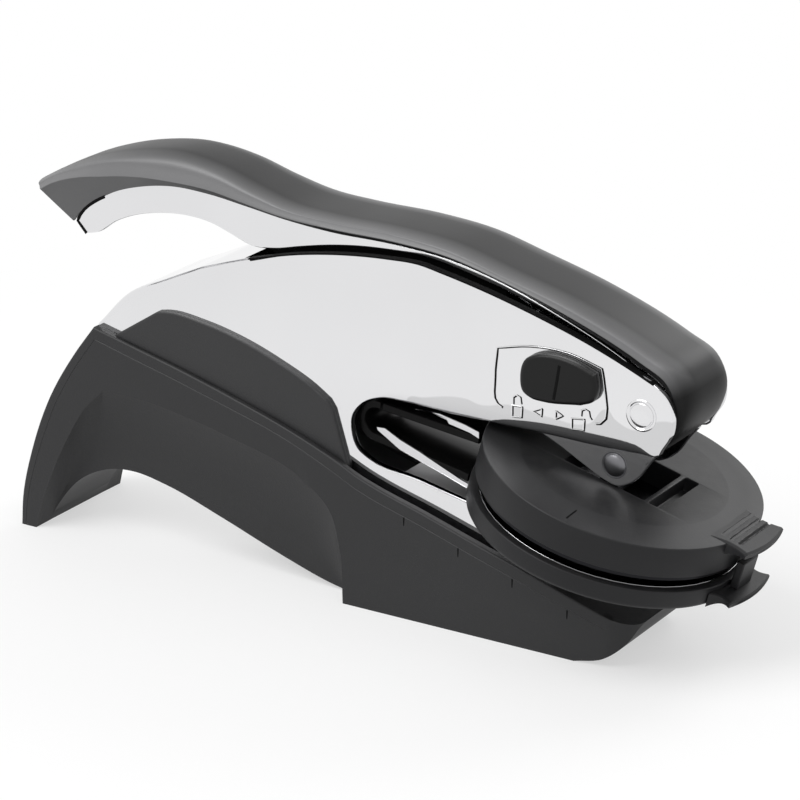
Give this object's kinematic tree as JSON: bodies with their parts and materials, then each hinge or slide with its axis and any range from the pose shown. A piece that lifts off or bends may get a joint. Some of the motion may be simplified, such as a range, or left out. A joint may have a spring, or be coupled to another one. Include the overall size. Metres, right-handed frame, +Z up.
{
  "type": "seal embosser",
  "caption": "Hand seal embosser with a hinged lever, chrome frame, moulded foot and sprung round die holders that press a seal into paper.",
  "frame": {"origin": "middle of the overall length from the heel to the tab, on the desk, in the mid-plane between the frame's cheeks", "axes": "+X from the lever's tail to the dies, +Y across to the far side, +Z up from the desk"},
  "size_m": [0.161, 0.0546, 0.0823],
  "materials": {
    "foot_plastic": "matte",
    "panel_plastic": "matte",
    "grip_plastic": "satin",
    "holder_plastic": "satin",
    "button_plastic": "satin",
    "frame_chrome": "polished",
    "lever_chrome": "polished",
    "pin_steel": "satin",
    "inner_steel": "satin",
    "block_aluminium": "cast",
    "screw_steel": "black oxide",
    "plate_chrome": "polished",
    "die_polymer": "satin",
    "die_brass": "engraved",
    "foot_rubber": "matte"
  },
  "bodies": {
    "stand": {"base_shell": "foot_plastic", "foot_pad": "foot_rubber", "frame": "frame_chrome", "block_front": "block_aluminium", "block_rear": "block_aluminium", "base_screw_front": "screw_steel", "base_screw_rear": "screw_steel", "side_panel_left": "panel_plastic", "side_panel_right": "panel_plastic", "pivot_pin": "pin_steel", "pivot_washer_left": "pin_steel", "pivot_washer_right": "pin_steel", "lower_die": "die_brass", "lower_die_plate": "plate_chrome", "lower_die_holder": "holder_plastic", "tab_post": "holder_plastic", "anvil_plate": "inner_steel"},
    "lever": {"lever_channel": "lever_chrome", "handle_cover": "grip_plastic", "cover_screw_front": "screw_steel", "cover_screw_rear": "screw_steel", "press_pin": "pin_steel"},
    "link": {"press_link": "inner_steel"},
    "upper_jaw": {"upper_die_holder": "holder_plastic", "saddle_plate": "inner_steel", "upper_die_plate": "plate_chrome", "upper_die": "die_polymer"},
    "lock": {"lock_button": "button_plastic", "lock_latch": "inner_steel"}
  },
  "joints": [
    {"name": "lever_hinge", "type": "hinge", "parent": "stand", "child": "lever", "pos_m": [0.05994, 0, 0.0498], "axis": [0, 1, 0], "range_deg": [0, 22]},
    {"name": "link_hinge", "type": "hinge", "parent": "lever", "child": "link", "pos_m": [0.05324, 0, 0.038], "axis": [0, 1, 0], "range_deg": [-54, 0]},
    {"name": "jaw_hinge", "type": "hinge", "parent": "stand", "child": "upper_jaw", "pos_m": [0.00183, 0, 0.0366], "axis": [0, -1, 0], "range_deg": [0, 2.3]},
    {"name": "lock_slide", "type": "slide", "parent": "stand", "child": "lock", "axis": [-1, 0, 0], "range_m": [0, 0.004]}
  ],
  "couplings": [
    {"joint": "link_hinge", "follows": "lever_hinge", "ratio": -2.3526},
    {"joint": "jaw_hinge", "follows": "lever_hinge", "ratio": 0.1}
  ]
}
